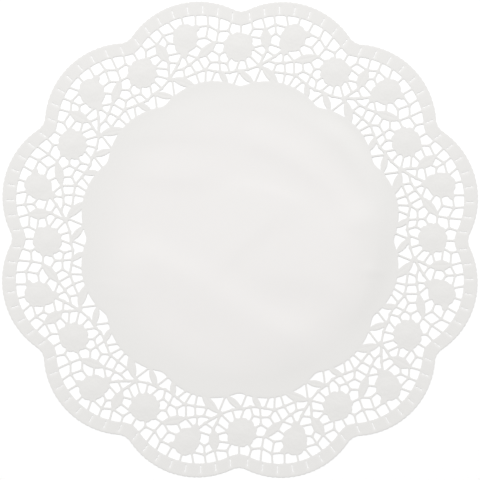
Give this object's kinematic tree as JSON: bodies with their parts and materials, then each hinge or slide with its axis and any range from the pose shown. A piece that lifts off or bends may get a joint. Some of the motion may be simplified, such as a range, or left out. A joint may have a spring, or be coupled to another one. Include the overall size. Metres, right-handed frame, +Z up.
{
  "type": "paper doily",
  "caption": "Round scalloped paper doily with a die-cut and embossed lace edging of roses and leaves and a plain middle, lying flat.",
  "frame": {"origin": "middle of the underside, on the surface that the doily lies on", "axes": "+Z up out of the sheet, with a valley of the scalloped edge on each of +X and +Y"},
  "size_m": [0.3522, 0.3522, 0.001],
  "materials": {
    "paper": "matt white paper, die-cut and embossed"
  },
  "bodies": {
    "root": {"doily": "paper"}
  },
  "joints": []
}
